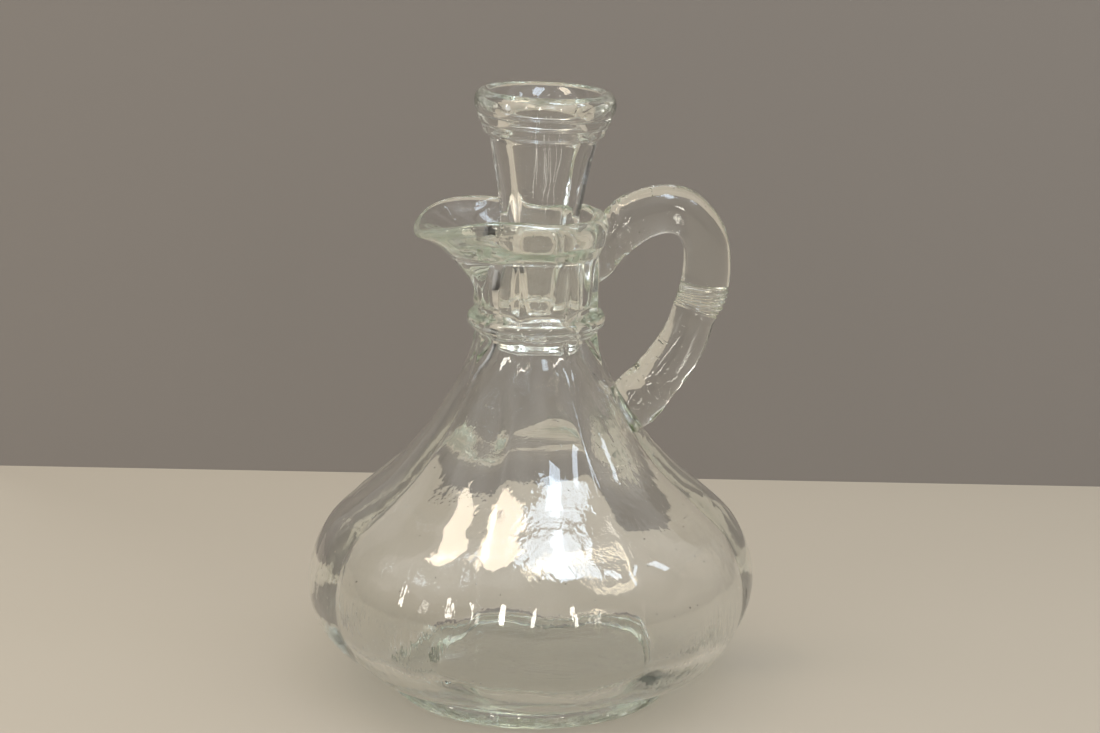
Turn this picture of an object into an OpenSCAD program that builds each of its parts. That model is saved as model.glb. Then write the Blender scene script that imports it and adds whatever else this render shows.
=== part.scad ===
// Pressed-glass cruet: an onion-shaped bottle with eight panels, a looped rod handle
// and a loose hollow stopper. The origin is at the centre of the foot, +Z is up,
// the handle is on +X and the pouring lip on -X.

/* [Foot] */
// Radius of the round foot
foot_r = 35.3; // [35:0.1:35.8]
// Height of the smooth foot band
foot_h = 4; // [3.6:0.1:4.2]
// Radius of the foot's lower edge
foot_edge = 0.9; // [0.5:0.1:1.2]

/* [Bulb] */
// Widest radius of the bulb, over the crest of a panel
bulb_r = 55.4; // [54.8:0.1:56]
// Height of the widest part
bulb_z = 26; // [25:0.5:27]
// Depth of the grooves between panels at the widest part
groove = 2; // [1:0.1:2.4]
// Thickness of the glass in the bulb, at the crest of a panel
bulb_wall = 4; // [3.6:0.1:4.4]
// Height of the cavity's floor above the table
floor_z = 5.8; // [5.4:0.1:6.4]

/* [Neck] */
// Radius of the neck over the edges of its flats
neck_r = 15.4; // [15.2:0.1:15.8]
// Radius of the ring around the neck
ring_r = 16.7; // [16.4:0.1:17]
// Height of the ring's centre
ring_z = 92.8; // [92.4:0.1:93.2]
// Radius of the bore at its lower end
bore_low_r = 9.6; // [9.55:0.01:9.7]
// Radius of the bore at the mouth
bore_top_r = 10.1; // [10.05:0.01:10.2]

/* [Lip] */
// Height of the rim
lip_z = 118.7; // [118:0.1:119.4]
// Radius of the rim away from the spout
lip_r = 18; // [17.6:0.1:18.4]
// How far the spout's tip reaches
spout_r = 29.7; // [28:0.1:31]
// How far the rim dips at the spout's tip
spout_dip = 3.3; // [2.6:0.1:3.6]
// How far the rim rises in an ear on each side of the spout
ear = 1; // [0.4:0.1:1.2]

/* [Handle] */
// Half width of the rod, front to back
rod_half = 5.6; // [5.2:0.1:5.8]

/* [Stopper] */
// Height of the stopper's flat bottom
plug_z = 85.5; // [85.2:0.1:86.5]
// Radius of the shank at the bottom
plug_r = 9.05; // [8.8:0.01:9.08]
// Height of the stopper's top
stopper_top = 148.1; // [147.9:0.1:148.5]
// Tilt of the loose stopper in the neck, towards the handle
lean = 1.6; // [0:0.1:1.8]
// Height about which the stopper tilts
lean_z = 99; // [97:0.5:101]

/* [Hidden] */

panels = 8;
pane = 360 / panels;
per_panel = 6;
sectors = panels * per_panel;
rod_sides = 20;

// Rows of the bottle's outline from foot to ring: radius, height,
// how flat the panels are (0 to 1) and the depth of the grooves between them.
bulb_rows = [
    [foot_r - 2.4, 2.2, 0, 0],
    [foot_r - 0.4, foot_h + 0.2, 0, 0.1 * groove],
    [38.5, 5.5, 0, 0.5 * groove],
    [44.3, 8, 0, 0.75 * groove],
    [50, 12.6, 0, 0.9 * groove],
    [53.8, 18.6, 0, 0.95 * groove],
    [bulb_r, bulb_z, 0, groove],
    [bulb_r - 1.2, 34, 0, groove],
    [50, 42.4, 0, groove],
    [41.8, 50, 0, groove],
    [33.4, 57.4, 0, 0.9 * groove],
    [26.4, 66, 0.1, 0.7 * groove],
    [20.9, 75, 0.3, 0.45 * groove],
    [17.2, 82.6, 0.6, 0.2 * groove],
    [neck_r + 0.1, 89, 0.9, 0]
];

// The ring is a half-round bead, and the neck above it has eight flats.
ring_half = 1.9;
ring_rows = [
    for (a = [-90 : 36 : 90])
        [neck_r - 0.1 + (ring_r - neck_r + 0.1) * cos(a), ring_z + ring_half * sin(a), 0, 0]
];
neck_rows = [[neck_r, ring_z + 3.2, 1, 0], [neck_r, 98, 1, 0]];

// Sections through the lip, away from the spout and through it, from the neck over
// the rim to the mouth. Both have the same number of points.
mouth_z = 110.5;
mouth_r = bore_top_r + 0.6;
lip_side = [
    [neck_r, 100.8], [neck_r, 105], [neck_r - 0.1, 108.8], [lip_r - 1.5, 110.6],
    [lip_r - 0.4, 113.2], [lip_r, 116], [lip_r - 0.7, lip_z - 0.6], [lip_r - 2.1, lip_z],
    [lip_r - 3.4, lip_z - 1.2], [13.6, 114.6], [12.2, 112], [mouth_r, mouth_z]
];
tip_z = lip_z - spout_dip;
lip_spout = [
    [15.4, 100.8], [18.4, 105], [21.6, 108.7], [24.8, 111.6],
    [27.6, 113], [spout_r - 0.3, tip_z - 1.8], [spout_r, tip_z - 0.7], [spout_r - 1.2, tip_z],
    [spout_r - 3, tip_z - 0.4], [21.5, 113.2], [15.5, 111.4], [mouth_r, mouth_z]
];
// Half width of the spout, in degrees, along those sections: narrow below, wide at the rim.
keel_half = 25;
rim_half = 55;
dip_half = 28;
ear_at = 52;

// Pairs of points on the outer and the inner edge of the handle, from the lip to the shoulder,
// each with the rod's half width there as a share of rod_half.
handle_rows = [
    [[15.4, 117.6], [13.2, 99.8], 0.9],
    [[17.2, 120], [17.2, 102.8], 0.98],
    [[19.4, 121.8], [21.4, 107.6], 1],
    [[22.8, 123.5], [26, 111.4], 1],
    [[27.4, 124.8], [29.6, 113], 1],
    [[32.4, 125.1], [32.2, 113.3], 1],
    [[38, 123.6], [34.4, 112.4], 1],
    [[43.2, 118.9], [35.7, 110], 1],
    [[46.4, 113.2], [36, 107.2], 1],
    [[47.5, 105.8], [35.8, 103.8], 1],
    [[47.1, 99.4], [35.2, 100.2], 1],
    [[46, 95.2], [34.3, 97.2], 1.02],
    [[43.9, 91.2], [33.2, 93.6], 1],
    [[42.3, 85.8], [32.1, 90.6], 1],
    [[39.3, 79.6], [29.6, 86.6], 1],
    [[34.2, 72.6], [25.6, 81.4], 1.02],
    [[29.9, 67], [20.9, 77.2], 1.08],
    [[25.8, 64.2], [18.1, 74.4], 1.1]
];

// One point of a Catmull-Rom curve through rows p[i] and p[i + 1], at t from 0 to 1.
function catmull(p, i, t) =
    let (a = p[max(i - 1, 0)], b = p[i], c = p[i + 1], d = p[min(i + 2, len(p) - 1)])
    0.5 * (2 * b + (c - a) * t + (2 * a - 5 * b + 4 * c - d) * t * t
        + (3 * b - a - 3 * c + d) * t * t * t);

// The rows with steps - 1 more between each two.
function smooth(p, steps) = concat(
    [for (i = [0 : len(p) - 2], k = [0 : steps - 1]) catmull(p, i, k / steps)],
    [p[len(p) - 1]]);

// Share of a flat panel's cut (0 at its edges) and of a soft groove (1 at its edges).
function off_centre(turn) = let (u = turn / pane) (u - floor(u + 0.5)) * pane;
function flat_cut(turn) = 1 - cos(pane / 2) / cos(off_centre(turn));
soft = 0.3;
function groove_cut(turn) =
    1 - (sqrt(pow(cos(off_centre(turn) * panels / 2), 2) + soft * soft) - soft)
        / (sqrt(1 + soft * soft) - soft);

function panel_point(row, turn) =
    let (r = row[0] * (1 - row[2] * flat_cut(turn)) - row[3] * groove_cut(turn))
    [r * cos(turn), r * sin(turn), row[1]];

// Weight of the spout's section at an angle from the spout.
function bell(angle, half, power) = exp(-pow(abs(angle) / half, power));
function from_spout(turn) = let (a = turn % 360) a - 180;

function lip_point(i, turn) =
    let (
        share = min(i / 5, 1),
        back = max((i - 8) / 4, 0),
        angle = from_spout(turn),
        half = keel_half + (rim_half - keel_half) * (share - 0.35 * back),
        wide = bell(angle, half, 2 + 2 * share),
        low = bell(angle, dip_half, 2),
        near_handle = i > 2 && i < 10 ? bell(180 - abs(angle), 45, 2) : 0,
        flat = max(1 - i / 3, 0) * (1 - wide),
        rise = i > 4 && i < 10 ? ear * bell(abs(angle) - ear_at, 18, 2) : 0,
        side = lip_side[i],
        spout = lip_spout[i],
        r = (side[0] + (spout[0] - side[0]) * wide) * (1 - flat * flat_cut(turn)) - near_handle,
        z = side[1] + (spout[1] - side[1]) * low + rise
    )
    [r * cos(turn), r * sin(turn), z];

turns = [for (s = [0 : sectors - 1]) s * 360 / sectors];
lower_rings = [
    for (row = concat(smooth(bulb_rows, 2), ring_rows, neck_rows))
        [for (turn = turns) panel_point(row, turn)]
];
lip_rings = [for (i = [0 : len(lip_side) - 1]) [for (turn = turns) lip_point(i, turn)]];

// A closed skin over rings of n points each, capped by a point at each end.
module skin(rings, first, last) {
    n = len(rings[0]);
    m = len(rings);
    points = concat([for (ring = rings) each ring], [first, last]);
    sides = [
        for (j = [0 : m - 2], s = [0 : n - 1])
            let (a = j * n + s, b = j * n + (s + 1) % n)
            each [[a, a + n, b + n], [a, b + n, b]]
    ];
    start = [for (s = [0 : n - 1]) [m * n, s, (s + 1) % n]];
    end = [for (s = [0 : n - 1]) [m * n + 1, (m - 1) * n + (s + 1) % n, (m - 1) * n + s]];
    polyhedron(points, concat(sides, start, end));
}

module foot() {
    arc = [for (a = [-90 : 15 : 0]) [foot_r - foot_edge + foot_edge * cos(a), foot_edge * (1 + sin(a))]];
    rotate_extrude($fn = 96)
        polygon(concat([[0, 0]], arc, [[foot_r, foot_h - 0.4], [foot_r - 0.4, foot_h], [0, foot_h]]));
}

// The hollow: a flat floor with a round corner, a wall that follows the bulb, and the bore.
neck_floor_z = 87;
module cavity() {
    rotate_extrude($fn = 96)
        polygon([
            [0, floor_z], [30, floor_z], [35, floor_z + 0.7], [40.4, floor_z + 3.4],
            [45.4, floor_z + 7.6], [49.8, 19.4], [bulb_r - bulb_wall, bulb_z],
            [bulb_r - bulb_wall - 1.2, 33], [46, 40.4], [38.8, 47.2], [30.6, 54.6],
            [23.4, 63.6], [17.3, 73.4], [13.3, 80.8], [11, 84.8], [bore_low_r, neck_floor_z],
            [bore_top_r, mouth_z - 0.6], [mouth_r, mouth_z + 0.2], [mouth_r, lip_z + 6], [0, lip_z + 6]
        ]);
}

module bottle() {
    color([0.86, 0.9, 0.86, 0.4])
        difference() {
            union() {
                skin(concat(lower_rings, lip_rings), [0, 0, 2.2], [0, 0, mouth_z]);
                foot();
            }
            cavity();
        }
}

function rod_ring(row) =
    let (mid = (row[0] + row[1]) / 2, reach = (row[0] - row[1]) / 2)
    [
        for (s = [0 : rod_sides - 1])
            let (a = s * 360 / rod_sides, in_plane = mid + reach * cos(a))
            [in_plane[0], -rod_half * row[2] * sin(a), in_plane[1]]
    ];

module handle() {
    rings = [for (row = smooth(handle_rows, 3)) rod_ring(row)];
    first = (rings[0][0] + rings[0][rod_sides / 2]) / 2;
    last = (rings[len(rings) - 1][0] + rings[len(rings) - 1][rod_sides / 2]) / 2;
    color([0.88, 0.9, 0.82, 0.4])
        skin(rings, first, last);
}

// The stopper's outer side from the bottom to the rim, then its hollow down to the bottom.
module stopper() {
    side = [
        [0, plug_z], [plug_r - 0.9, plug_z], [plug_r - 0.25, plug_z + 0.3], [plug_r, plug_z + 1],
        [9.45, 116], [9.9, 120], [10.5, 124], [11.2, 128], [12.1, 132.6], [12.9, 136.8],
        [14.1, 137.6], [14.6, 138.4], [15.8, 141], [16.6, 143.4]
    ];
    rim_r = 1.9;
    rim_mid = [15, stopper_top - 2.6];
    rim = [
        for (a = [0 : 20 : 140])
            [rim_mid[0] + rim_r * cos(a), rim_mid[1] + rim_r * 1.36 * sin(a)]
    ];
    hollow = [
        [12.2, 146.6], [10.8, 144.4], [9.5, 141.4], [8.4, 138], [7.2, 133], [6.2, 127],
        [5.4, 121], [4.8, 114], [4.3, 106], [3.8, 99], [3.2, 95.6], [1.9, 93.7], [0, 93.1]
    ];
    color([0.9, 0.92, 0.9, 0.4])
        translate([0, 0, lean_z])
            rotate([0, lean, 0])
                translate([0, 0, -lean_z])
                    rotate_extrude($fn = 96)
                        polygon(concat(side, rim, hollow));
}

bottle();
handle();
stopper();
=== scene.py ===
"""A clear pressed-glass cruet: panelled bottle, looped rod handle and loose hollow stopper."""
import math

import bpy
import numpy as np
from mathutils import Matrix, Vector


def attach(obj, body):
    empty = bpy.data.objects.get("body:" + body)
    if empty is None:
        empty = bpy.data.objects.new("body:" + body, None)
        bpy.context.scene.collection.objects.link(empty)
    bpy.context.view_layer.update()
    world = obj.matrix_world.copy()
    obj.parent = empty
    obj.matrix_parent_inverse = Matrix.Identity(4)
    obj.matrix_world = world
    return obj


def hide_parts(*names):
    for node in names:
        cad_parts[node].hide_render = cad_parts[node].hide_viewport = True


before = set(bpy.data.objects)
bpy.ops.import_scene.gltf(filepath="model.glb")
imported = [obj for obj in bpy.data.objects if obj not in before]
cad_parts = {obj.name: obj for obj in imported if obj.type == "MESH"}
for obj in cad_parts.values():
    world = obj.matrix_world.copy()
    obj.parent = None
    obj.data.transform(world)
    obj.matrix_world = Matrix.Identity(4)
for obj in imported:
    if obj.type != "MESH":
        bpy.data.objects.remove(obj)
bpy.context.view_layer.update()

MM = 0.001
PANELS = 8
PANE = 360 / PANELS
SECTORS = PANELS * 26


# ---------------------------------------------------------------- curves and rings
def curve(rows, places):
    """A Catmull-Rom curve through rows, each a number or an array, read at places counted in rows."""
    p = np.array(rows, float)
    places = np.asarray(places)
    i = np.clip(places.astype(int), 0, len(p) - 2)
    t = (places - i).reshape((-1,) + (1,) * (p.ndim - 1))
    a, b, c, d = p[np.maximum(i - 1, 0)], p[i], p[i + 1], p[np.minimum(i + 2, len(p) - 1)]
    return 0.5 * (2 * b + (c - a) * t + (2 * a - 5 * b + 4 * c - d) * t * t
                  + (3 * b - a - 3 * c + d) * t ** 3)


def smooth(rows, steps):
    """The curve through rows, with steps points from each row to the next."""
    return curve(rows, np.arange((len(rows) - 1) * steps + 1) / steps)


TURNS = np.radians(np.arange(SECTORS) * 360 / SECTORS)


def off_centre(turns):
    """Degrees from the middle of the nearest panel."""
    u = np.degrees(turns) / PANE
    return (u - np.floor(u + 0.5)) * PANE


def flat_cut(turns):
    """The share of the radius that a flat panel takes off a circle."""
    return 1 - math.cos(math.radians(PANE / 2)) / np.cos(np.radians(off_centre(turns)))


def groove_cut(turns, soft=0.06):
    """0 on a panel's crest and 1 in the soft groove between two panels."""
    c = np.cos(np.radians(off_centre(turns)) * PANELS / 2)
    return 1 - (np.sqrt(c * c + soft * soft) - soft) / (math.sqrt(1 + soft * soft) - soft)


def panel_rings(rows):
    """Rings for rows of radius, height, flatness of the panels and depth of the grooves."""
    flat, groove = flat_cut(TURNS), groove_cut(TURNS)
    rings = []
    for r, z, flatness, depth in rows:
        radius = r * (1 - flatness * flat) - depth * groove
        rings.append(np.stack([radius * np.cos(TURNS), radius * np.sin(TURNS),
                               np.full(SECTORS, z)], 1))
    return rings


def skin(name, rings, first, last):
    """A closed mesh over rings of equal length, capped at each end by a point."""
    n, m = len(rings[0]), len(rings)
    verts = np.concatenate([np.concatenate(rings), [first, last]]) * MM
    faces = []
    for j in range(m - 1):
        for s in range(n):
            a, b = j * n + s, j * n + (s + 1) % n
            faces.append((a, b, b + n, a + n))
    for s in range(n):
        t = (s + 1) % n
        faces.append((m * n, t, s))
        faces.append((m * n + 1, (m - 1) * n + s, (m - 1) * n + t))
    mesh = bpy.data.meshes.new(name)
    mesh.from_pydata([tuple(v) for v in verts], [], faces)
    mesh.validate()
    mesh.polygons.foreach_set("use_smooth", [True] * len(mesh.polygons))
    piece = bpy.data.objects.new(name, mesh)
    bpy.context.scene.collection.objects.link(piece)
    return piece


def bell(angle, half, power):
    """1 at zero, falling to 1/e at half and to nothing beyond; a higher power has steeper sides."""
    return np.exp(-(np.abs(angle) / half) ** power)


# ---------------------------------------------------------------- bottle
# rows are radius and height, then the flatness of the panels and the depth of the grooves, 0 to 1
GROOVE = 2.0
BULB_R, BULB_Z = 55.4, 26.0
NECK_R = 15.4
RECESS_Z = 0.62
FLOOR_Z = 5.8

FOOT_ROWS = [
    [26.0, 0.6], [28.0, 0.5], [29.6, 0.12], [30.6, 0.02], [33.8, 0.02], [34.7, 0.3],
    [35.2, 1.0], [35.3, 2.2], [35.1, 3.2], [34.7, 3.75], [34.8, 4.15],
]
BULB_ROWS = [
    [34.8, 4.15, 0, 0.08], [36, 4.6, 0, 0.3], [38.5, 5.5, 0, 0.5], [44.3, 8, 0, 0.75],
    [50, 12.6, 0, 0.9], [53.8, 18.6, 0, 0.95], [BULB_R, BULB_Z, 0, 1],
    [BULB_R - 1.2, 34, 0, 1], [50, 42.4, 0, 1], [41.8, 50, 0, 1],
    [33.4, 57.4, 0, 0.9], [26.4, 66, 0.1, 0.7], [20.9, 75, 0.3, 0.45], [17.2, 82.6, 0.6, 0.2],
    [15.6, 88.2, 0.9, 0], [15.4, 90, 0.5, 0],
]
RING_ROWS = [
    [15.5, 90.6, 0.1, 0], [15.9, 91.05, 0, 0], [16.5, 91.8, 0, 0], [16.7, 92.8, 0, 0],
    [16.5, 93.8, 0, 0], [15.9, 94.5, 0, 0], [15.5, 94.95, 0.2, 0], [15.35, 95.7, 0.8, 0],
]
LIP_Z, LIP_R, TIP_R, TIP_DIP = 118.7, 18.0, 29.7, 3.3
TIP_Z = LIP_Z - TIP_DIP
MOUTH_Z, MOUTH_R = 110.5, 10.7
LIP_SIDE = [
    [15.35, 96.8], [NECK_R, 100.8], [NECK_R, 105], [NECK_R - 0.1, 108.3], [NECK_R + 0.9, 109.5],
    [LIP_R - 0.9, 111.4], [LIP_R - 0.35, 113.6], [LIP_R, 116], [LIP_R - 0.6, LIP_Z - 0.7],
    [LIP_R - 1.9, LIP_Z], [LIP_R - 3.2, LIP_Z - 0.9], [13.6, 114.8], [12.3, 112.2],
    [11.2, 110.9], [10.5, 110.1],
]
LIP_SPOUT = [
    [15.35, 96.8], [15.4, 100.8], [18.0, 104.8], [20.9, 108.0], [23.2, 110.3],
    [25.2, 112.0], [27.6, 113.2], [TIP_R - 0.4, TIP_Z - 1.9], [TIP_R, TIP_Z - 0.8],
    [TIP_R - 1.1, TIP_Z], [TIP_R - 3, TIP_Z - 0.4], [21.5, 113.2], [15.7, 111.6],
    [12.0, 110.7], [10.5, 110.1],
]
# half widths in degrees of the spout's keel, its rim and the dip in its rim
KEEL_HALF, RIM_HALF, DIP_HALF = 25, 55, 28
# the rim rises a little on each side of the spout
EAR, EAR_AT = 1.0, 52

INNER_ROWS = [
    [10.5, 110.1, 0, 0], [10.15, 109.3, 0, 0], [10.05, 107.5, 0, 0], [9.9, 101, 0, 0], [9.75, 94, 0, 0],
    [9.65, 88.6, 0, 0], [9.9, 87, 0, 0], [11, 84.8, 0, 0], [13.3, 80.8, 0, 0], [17.3, 73.4, 0, -0.05],
    [23.4, 63.6, 0, -0.1], [30.6, 54.6, 0, -0.1], [38.8, 47.2, 0, -0.1], [46, 40.4, 0, -0.05],
    [BULB_R - 5.2, 33, 0, 0], [BULB_R - 4, BULB_Z, 0, 0.05], [50.4, 19.4, 0, 0.15],
    [46.9, 14.4, 0, 0.25], [42.4, 11, 0, 0.35], [38.8, 9, 0, 0.5], [36.4, 7.8, 0, 0.55],
    [35.2, 6.95, 0, 0.6], [34.3, 6.25, 0, 0.6], [33.2, 5.88, 0, 0.6], [31.6, 5.8, 0, 0.5],
    [27, 5.8, 0, 0.2], [18, 5.8, 0, 0], [9, 5.8, 0, 0],
]


def lip_rings():
    """Rings from the neck over the rim to the mouth, pulled out into the spout on -X."""
    angle = np.degrees(TURNS) - 180
    rows = []
    for i, (side, spout) in enumerate(zip(LIP_SIDE, LIP_SPOUT)):
        share = min(i / 7, 1)
        back = max((i - 10) / 4, 0)
        half = KEEL_HALF + (RIM_HALF - KEEL_HALF) * (share - 0.35 * back)
        wide = bell(angle, half, 2 + 2 * share)
        low = bell(angle, DIP_HALF, 2)
        flat = max(1 - i / 4, 0) * (1 - wide) * flat_cut(TURNS)
        on_rim = 1 if 5 < i < 12 else 0
        rise = on_rim * EAR * bell(np.abs(angle) - EAR_AT, 18, 2)
        wave = on_rim * (0.16 * np.sin(3 * TURNS + 0.8) + 0.1 * np.sin(7 * TURNS + 2.2)
                         + 0.06 * np.sin(13 * TURNS))
        near_handle = bell(180 - np.abs(angle), 45, 2) if 3 < i < 12 else 0
        r = (side[0] + (spout[0] - side[0]) * wide) * (1 - flat) - near_handle
        z = side[1] + (spout[1] - side[1]) * low + rise + wave
        rows.append(np.stack([r * np.cos(TURNS), r * np.sin(TURNS), z], 1))
    return list(smooth(rows, 6))


RIPPLE = 0.07


def scaled_grooves(rows):
    return [[r, z, flat, depth * GROOVE] for r, z, flat, depth in rows]


def ripple(verts, size, wave):
    """Slow unevenness of pressed glass: each point moves a little in or out from the axis."""
    x, y, z = verts.T
    k = 2 * math.pi / wave
    push = (np.sin(k * (x + 0.31 * z) + 1.3) * np.sin(k * (0.83 * y - 0.22 * z) + 0.4)
            + 0.6 * np.sin(k * 1.7 * (0.6 * x - 0.8 * y) + 2.1) * np.sin(k * 0.8 * z + 0.9))
    flat_r = np.maximum(np.hypot(x, y), 1e-6)
    out = verts.copy()
    out[:, 0] += size * push * x / flat_r
    out[:, 1] += size * push * y / flat_r
    return out


def make_bottle():
    foot = panel_rings([[r, z, 0, 0] for r, z in smooth(FOOT_ROWS, 4)])
    bulb = panel_rings(smooth(scaled_grooves(BULB_ROWS), 9))
    ring = panel_rings(smooth(scaled_grooves(RING_ROWS), 5))
    inner = panel_rings(smooth(scaled_grooves(INNER_ROWS), 6))
    bulb = [ripple(g, RIPPLE, 21) for g in bulb]
    inner = [ripple(g, RIPPLE if 12 < g[0][2] < 80 else 0.0, 26) for g in inner]
    rings = foot[:-1] + bulb + ring + lip_rings()[:-1] + inner
    return skin("cruet_bottle", rings, (0, 0, RECESS_Z), (0, 0, FLOOR_Z))


# ---------------------------------------------------------------- handle
# rows are a point on the outer side of the bend, one on its inner side, and a share of the width
HANDLE_ROWS = [
    [[15.4, 117.6], [13.2, 99.8], 0.9], [[17.2, 120], [17.2, 102.8], 0.98],
    [[19.4, 121.8], [21.4, 107.6], 1], [[22.8, 123.5], [26, 111.4], 1],
    [[27.4, 124.8], [29.6, 113], 1], [[32.4, 125.1], [32.2, 113.3], 1],
    [[38, 123.6], [34.4, 112.4], 1], [[43.2, 118.9], [35.7, 110], 1],
    [[46.4, 113.2], [36, 107.2], 1], [[47.5, 105.8], [35.8, 103.8], 1],
    [[47.1, 99.4], [35.2, 100.2], 1], [[46, 95.2], [34.3, 97.2], 1.02],
    [[43.9, 91.2], [33.2, 93.6], 1], [[42.3, 85.8], [32.1, 90.6], 1],
    [[39.3, 79.6], [29.6, 86.6], 1], [[34.2, 72.6], [25.6, 81.4], 1.02],
    [[29.9, 67], [20.9, 77.2], 1.08], [[25.8, 64.2], [18.1, 74.4], 1.1],
]
ROD_HALF = 5.6
ROD_SIDES = 80
ROD_STEP, FOLD_STEP = 0.06, 0.02
FOLDS = (9.6, 12.2)        # the stretch of rows that holds the wrinkles


def make_handle():
    flat = [[o[0], o[1], i[0], i[1], w] for o, i, w in HANDLE_ROWS]
    last = len(flat) - 1
    places = np.concatenate([np.arange(0, FOLDS[0], ROD_STEP), np.arange(*FOLDS, FOLD_STEP),
                             np.arange(FOLDS[1], last, ROD_STEP), [last]])
    around = np.radians(np.arange(ROD_SIDES) * 360 / ROD_SIDES)
    rings = []
    for place, (ox, oz, ix, iz, w) in zip(places, curve(flat, places)):
        mid = np.array([(ox + ix) / 2, (oz + iz) / 2])
        reach = np.array([(ox - ix) / 2, (oz - iz) / 2])
        swell = 1 + folds(place, around) + lumps(place, last, around)
        in_plane = mid + np.outer(np.cos(around) * swell, reach)
        across = -ROD_HALF * w * np.sin(around) * swell
        rings.append(np.stack([in_plane[:, 0], across, in_plane[:, 1]], 1))
    return skin("cruet_handle", rings, rings[0].mean(0), rings[-1].mean(0))


def folds(place, around):
    """Wrinkles where the hot rod folded: they meet on the inside and fan out to the outer side."""
    fan = 0.5 + 0.5 * np.cos(around)
    depth = np.zeros_like(around)
    for k in range(6):
        inner_at, outer_at = 10.4 + 0.16 * k, 9.98 + 0.33 * k + 0.05 * math.sin(5 * k)
        at = inner_at + (outer_at - inner_at) * fan + 0.03 * np.sin(4 * around + 1.7 * k)
        deep = 0.11 * (0.5 + 0.5 * fan) * (1 - 0.1 * k)
        depth -= deep * np.exp(-((place - at) / 0.07) ** 2)
        depth += 0.4 * deep * np.exp(-((place - at - 0.13) / 0.07) ** 2)
    return depth


def lumps(place, last, around):
    """Unevenness of the hot rod where it was pressed on to the bottle."""
    near = math.exp(-((place - 1.6) / 0.8) ** 2) + math.exp(-((place - last + 1.3) / 0.8) ** 2)
    return 0.022 * near * (np.sin(3 * around + 4 * place) + 0.7 * np.sin(5 * around - 7 * place + 1))


# ---------------------------------------------------------------- stopper
STOPPER_LEAN, LEAN_Z = 1.6, 99.0
PLUG_Z, HOLLOW_Z = 85.5, 93.1
STOPPER_ROWS = [
    [7.9, PLUG_Z], [8.35, 85.52], [8.75, 85.75], [9.0, 86.3], [9.06, 87.4], [9.2, 96], [9.35, 108],
    [9.45, 116], [9.9, 120], [10.5, 124], [11.2, 128], [12.1, 132.6], [12.6, 135.2], [12.75, 136.3],
    [12.6, 136.95], [12.85, 137.35], [13.9, 137.5], [14.45, 138.0], [14.75, 138.8], [15.05, 139.7],
    [15.15, 140.2], [15.6, 140.6], [15.95, 141.4], [16.1, 142.2], [16.1, 142.7], [16.5, 143.1],
    [16.85, 144], [16.97, 145.2], [16.75, 146.5], [16.1, 147.5], [15.1, 148.05], [14.1, 148],
    [13.1, 147.4], [11.9, 146], [10.7, 144], [9.5, 141.4], [8.4, 138], [7.2, 133], [6.2, 127],
    [5.4, 121], [4.8, 114], [4.3, 106], [3.8, 99], [3.2, 95.6], [2.2, 93.9], [0.8, 93.2],
]


def make_stopper():
    rings = panel_rings([[r, z, 0, 0] for r, z in smooth(STOPPER_ROWS, 7)])
    rings = [ripple(g, 0.035, 13) for g in rings]
    piece = skin("cruet_stopper", rings, (0, 0, PLUG_Z), (0, 0, HOLLOW_Z))
    pivot = Vector((0, 0, LEAN_Z * MM))
    lean = Matrix.Rotation(math.radians(STOPPER_LEAN), 4, "Y")
    piece.data.transform(Matrix.Translation(pivot) @ lean @ Matrix.Translation(-pivot))
    return piece


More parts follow.
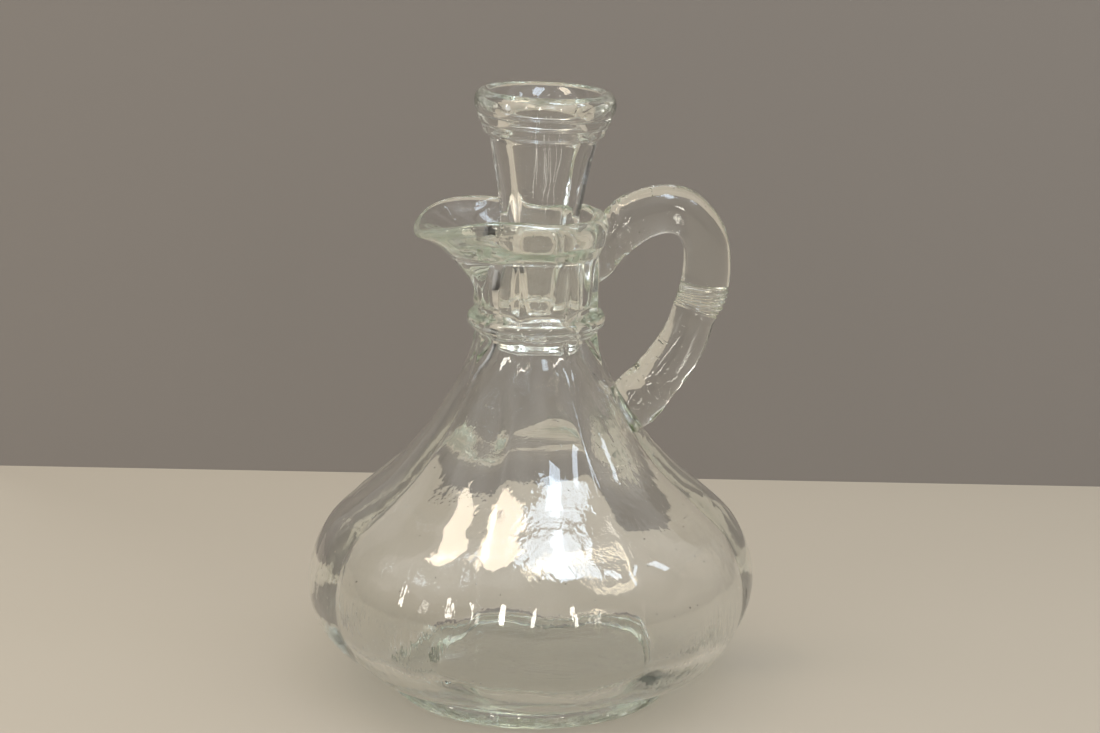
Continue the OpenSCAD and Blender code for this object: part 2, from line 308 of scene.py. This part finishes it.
# ---------------------------------------------------------------- glass
def glass(name, cast, density, waves, seeds, haze):
    """Clear glass with a cast that shows in thick parts.

    waves are layers of unevenness, each a size in mm, a stretch along Z, a height in mm and how
    patchy it is; seeds are small blisters, as a spacing and a radius in mm; haze is a roughness."""
    mat = bpy.data.materials.new(name)
    mat.use_nodes = True
    nt = mat.node_tree
    shader = nt.nodes["Principled BSDF"]
    shader.inputs["Base Color"].default_value = (0.99, 0.992, 0.985, 1)
    shader.inputs["Transmission Weight"].default_value = 1
    shader.inputs["IOR"].default_value = 1.5
    place = nt.nodes.new("ShaderNodeTexCoord").outputs["Object"]

    def noise(size, stretch, detail):
        squash = nt.nodes.new("ShaderNodeMapping")
        squash.inputs["Scale"].default_value = (1, 1, 1 / stretch)
        nt.links.new(place, squash.inputs["Vector"])
        node = nt.nodes.new("ShaderNodeTexNoise")
        node.inputs["Scale"].default_value = 1000 / size
        node.inputs["Detail"].default_value = detail
        nt.links.new(squash.outputs["Vector"], node.inputs["Vector"])
        return node.outputs["Fac"]

    def spread(value, low, high, out_low=0.0, out_high=1.0):
        node = nt.nodes.new("ShaderNodeMapRange")
        for key, number in (("From Min", low), ("From Max", high), ("To Min", out_low), ("To Max", out_high)):
            node.inputs[key].default_value = number
        nt.links.new(value, node.inputs["Value"])
        return node.outputs["Result"]

    def times(a, b):
        node = nt.nodes.new("ShaderNodeMath")
        node.operation = "MULTIPLY"
        nt.links.new(a, node.inputs[0])
        nt.links.new(b, node.inputs[1])
        return node.outputs[0]

    normal = None

    def raise_by(height, most):
        nonlocal normal
        node = nt.nodes.new("ShaderNodeBump")
        node.inputs["Strength"].default_value = 1
        node.inputs["Distance"].default_value = most * MM
        nt.links.new(height, node.inputs["Height"])
        if normal:
            nt.links.new(normal, node.inputs["Normal"])
        normal = node.outputs["Normal"]

    for size, stretch, height, patchy in waves:
        wave = noise(size, stretch, 2)
        if patchy:
            wave = times(wave, spread(noise(26, 1, 1), 0.4, 0.62))
        raise_by(wave, height)

    spacing, radius = seeds
    cells = nt.nodes.new("ShaderNodeTexVoronoi")
    cells.inputs["Scale"].default_value = 1000 / spacing
    nt.links.new(place, cells.inputs["Vector"])
    raise_by(spread(cells.outputs["Distance"], 0, radius / spacing, 1, 0), radius / 2)
    nt.links.new(normal, shader.inputs["Normal"])
    nt.links.new(spread(noise(17, 1, 4), 0.45, 0.8, 0, haze), shader.inputs["Roughness"])

    # lamps shine through the glass on to the floor
    lamps = nt.nodes.new("ShaderNodeLightPath")
    clear = nt.nodes.new("ShaderNodeBsdfTransparent")
    clear.inputs["Color"].default_value = (0.97, 0.973, 0.967, 1)
    mix = nt.nodes.new("ShaderNodeMixShader")
    nt.links.new(lamps.outputs["Is Shadow Ray"], mix.inputs[0])
    nt.links.new(shader.outputs["BSDF"], mix.inputs[1])
    nt.links.new(clear.outputs["BSDF"], mix.inputs[2])
    nt.links.new(mix.outputs[0], nt.nodes["Material Output"].inputs["Surface"])

    inside = nt.nodes.new("ShaderNodeVolumeAbsorption")
    inside.inputs["Color"].default_value = (*cast, 1)
    inside.inputs["Density"].default_value = density
    nt.links.new(inside.outputs["Volume"], nt.nodes["Material Output"].inputs["Volume"])
    return mat


# ---------------------------------------------------------------- the pieces
bottle = make_bottle()
handle = make_handle()
stopper = make_stopper()
bottle.data.materials.append(glass(
    "bottle_glass", (0.8, 0.93, 0.77), 5.5,
    [(12, 2, 0.12, False), (2.2, 5, 0.07, True), (1, 2, 0.018, True)], (4, 0.25), 0.06))
handle.data.materials.append(glass(
    "handle_glass", (0.85, 0.92, 0.62), 7,
    [(8, 1, 0.12, False), (2, 1, 0.06, True)], (1.6, 0.22), 0.3))
stopper.data.materials.append(glass(
    "stopper_glass", (0.85, 0.93, 0.82), 6,
    [(7, 1, 0.06, False), (1.2, 1, 0.014, True)], (4, 0.2), 0.04))

for piece, node, body in ((bottle, "bottle", "cruet"), (handle, "handle", "cruet"),
                          (stopper, "stopper", "stopper")):
    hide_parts(node)
    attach(piece, body)


# ---------------------------------------------------------------- table, light and camera
def plain_material(name, colour, roughness):
    mat = bpy.data.materials.new(name)
    mat.use_nodes = True
    shader = mat.node_tree.nodes["Principled BSDF"]
    shader.inputs["Base Color"].default_value = (*colour, 1)
    shader.inputs["Roughness"].default_value = roughness
    return mat


def staged_sheet(name, corners, material):
    """A plain sheet with four corners, which isn't part of the object."""
    mesh = bpy.data.meshes.new(name)
    mesh.from_pydata(corners, [], [(0, 1, 2, 3)])
    sheet = bpy.data.objects.new(name, mesh)
    bpy.context.scene.collection.objects.link(sheet)
    mesh.materials.append(material)
    return sheet


def make_stage(turn, behind, left, right, high):
    """A pale floor and, behind the cruet, a taupe card that can't be seen from its back."""
    floor = -0.00015
    staged_sheet("floor", [(-3, -3, floor), (3, -3, floor), (3, 3, floor), (-3, 3, floor)],
                 plain_material("floor_paint", (0.49, 0.435, 0.355), 0.75))
    paint = plain_material("card_paint", (0.25, 0.226, 0.206), 0.9)
    nt = paint.node_tree
    side = nt.nodes.new("ShaderNodeNewGeometry")
    clear = nt.nodes.new("ShaderNodeBsdfTransparent")
    mix = nt.nodes.new("ShaderNodeMixShader")
    nt.links.new(side.outputs["Backfacing"], mix.inputs[0])
    nt.links.new(nt.nodes["Principled BSDF"].outputs[0], mix.inputs[1])
    nt.links.new(clear.outputs[0], mix.inputs[2])
    nt.links.new(mix.outputs[0], nt.nodes["Material Output"].inputs["Surface"])
    card = staged_sheet("backdrop", [(left, behind, floor), (right, behind, floor),
                                     (right, behind, high), (left, behind, high)], paint)
    card.data.transform(Matrix.Rotation(turn, 4, "Z"))


def softbox(name, azimuth, elevation, distance, width, height, power, colour):
    """An area light aimed at the cruet; azimuth is the compass angle from +X."""
    data = bpy.data.lights.new(name, "AREA")
    data.shape = "RECTANGLE"
    data.size, data.size_y = width, height
    data.energy = power
    data.color = colour
    light = bpy.data.objects.new(name, data)
    a, e = math.radians(azimuth), math.radians(elevation)
    aim = Vector((0, 0, 0.06))
    way = Vector((math.cos(a) * math.cos(e), math.sin(a) * math.cos(e), math.sin(e)))
    light.location = aim + way * distance
    light.rotation_mode = "QUATERNION"
    light.rotation_quaternion = way.to_track_quat("Z", "Y")
    bpy.context.scene.collection.objects.link(light)


def make_world(stops, gap, gap_half):
    """A plain room, paler towards its ceiling and uneven all round.

    It has one darker upright gap, at the compass angle gap."""
    world = bpy.data.worlds.new("studio")
    world.use_nodes = True
    nt = world.node_tree
    place = nt.nodes.new("ShaderNodeTexCoord")
    part = nt.nodes.new("ShaderNodeSeparateXYZ")
    ramp = nt.nodes.new("ShaderNodeValToRGB")
    nt.links.new(place.outputs["Generated"], part.inputs["Vector"])
    nt.links.new(part.outputs["Z"], ramp.inputs["Fac"])
    ramp.color_ramp.interpolation = "EASE"
    while len(ramp.color_ramp.elements) < len(stops):
        ramp.color_ramp.elements.new(0.5)
    for element, (height, colour) in zip(ramp.color_ramp.elements, stops):
        element.position = height
        element.color = (*colour, 1)

    def maths(kind, a, b):
        node = nt.nodes.new("ShaderNodeMath")
        node.operation = kind
        for socket, value in zip(node.inputs, (a, b)):
            if isinstance(value, (int, float)):
                socket.default_value = value
            elif value is not None:
                nt.links.new(value, socket)
        return node.outputs[0]

    compass = maths("ARCTAN2", part.outputs["Y"], part.outputs["X"])
    off_gap = maths("ABSOLUTE", maths("SUBTRACT", compass, math.radians(gap)), None)
    open_wall = nt.nodes.new("ShaderNodeMapRange")
    open_wall.interpolation_type = "SMOOTHSTEP"
    open_wall.inputs["From Min"].default_value = math.radians(gap_half * 0.7)
    open_wall.inputs["From Max"].default_value = math.radians(gap_half)
    open_wall.inputs["To Min"].default_value = 0.2
    nt.links.new(off_gap, open_wall.inputs["Value"])
    back = nt.nodes["Background"]
    nt.links.new(ramp.outputs["Color"], back.inputs["Color"])
    bays = maths("SINE", maths("MULTIPLY", compass, 7), None)
    uneven = maths("ADD", maths("MULTIPLY", bays, 0.3), 1)
    nt.links.new(maths("MULTIPLY", open_wall.outputs["Result"], uneven), back.inputs["Strength"])
    bpy.context.scene.world = world


CAMERA_AZIMUTH = 8.0       # degrees round from the -Y side, towards the spout
CAMERA_PITCH = 14.5
CAMERA_ROLL = 1.1
CAMERA_DISTANCE = 578 * MM
CAMERA_HEIGHT = 230 * MM
CAMERA_SIDE = 3.6 * MM
CAMERA_LENS = 80.2


def make_camera():
    data = bpy.data.cameras.new("camera")
    data.lens, data.sensor_width = CAMERA_LENS, 36
    camera = bpy.data.objects.new("camera", data)
    bpy.context.scene.collection.objects.link(camera)
    turn = Matrix.Rotation(math.radians(-CAMERA_AZIMUTH), 4, "Z")
    pitch = Matrix.Rotation(math.radians(90 - CAMERA_PITCH), 4, "X")
    roll = Matrix.Rotation(math.radians(CAMERA_ROLL), 4, "Z")
    spot = Matrix.Translation((CAMERA_SIDE, -CAMERA_DISTANCE, CAMERA_HEIGHT))
    camera.matrix_world = turn @ spot @ pitch @ roll
    bpy.context.scene.camera = camera


make_stage(math.radians(-CAMERA_AZIMUTH), 0.172, -0.178, 0.35, 0.7)
softbox("skylight_warm", -170, 66, 1.1, 0.22, 0.4, 3.6, (1, 0.87, 0.68))
softbox("skylight_cool", -64, 66, 1.1, 0.26, 0.4, 4, (0.72, 0.85, 1))
softbox("lamp_side", -22, 44, 1.1, 0.1, 0.26, 0.9, (0.74, 0.86, 1))
for place in (-162, -126, -106, -72):
    softbox("tube", place, 17, 1.2, 0.05, 0.3, 1, (1, 0.96, 0.88))
make_world([(0, (0.15, 0.14, 0.13)), (0.3, (0.36, 0.34, 0.32)), (0.8, (0.85, 0.84, 0.82))], 152, 18)
make_camera()
scene = bpy.context.scene
scene.view_settings.view_transform = "Standard"
scene.cycles.max_bounces = 32
scene.cycles.glossy_bounces = 32
scene.cycles.transmission_bounces = 32
scene.cycles.caustics_refractive = False
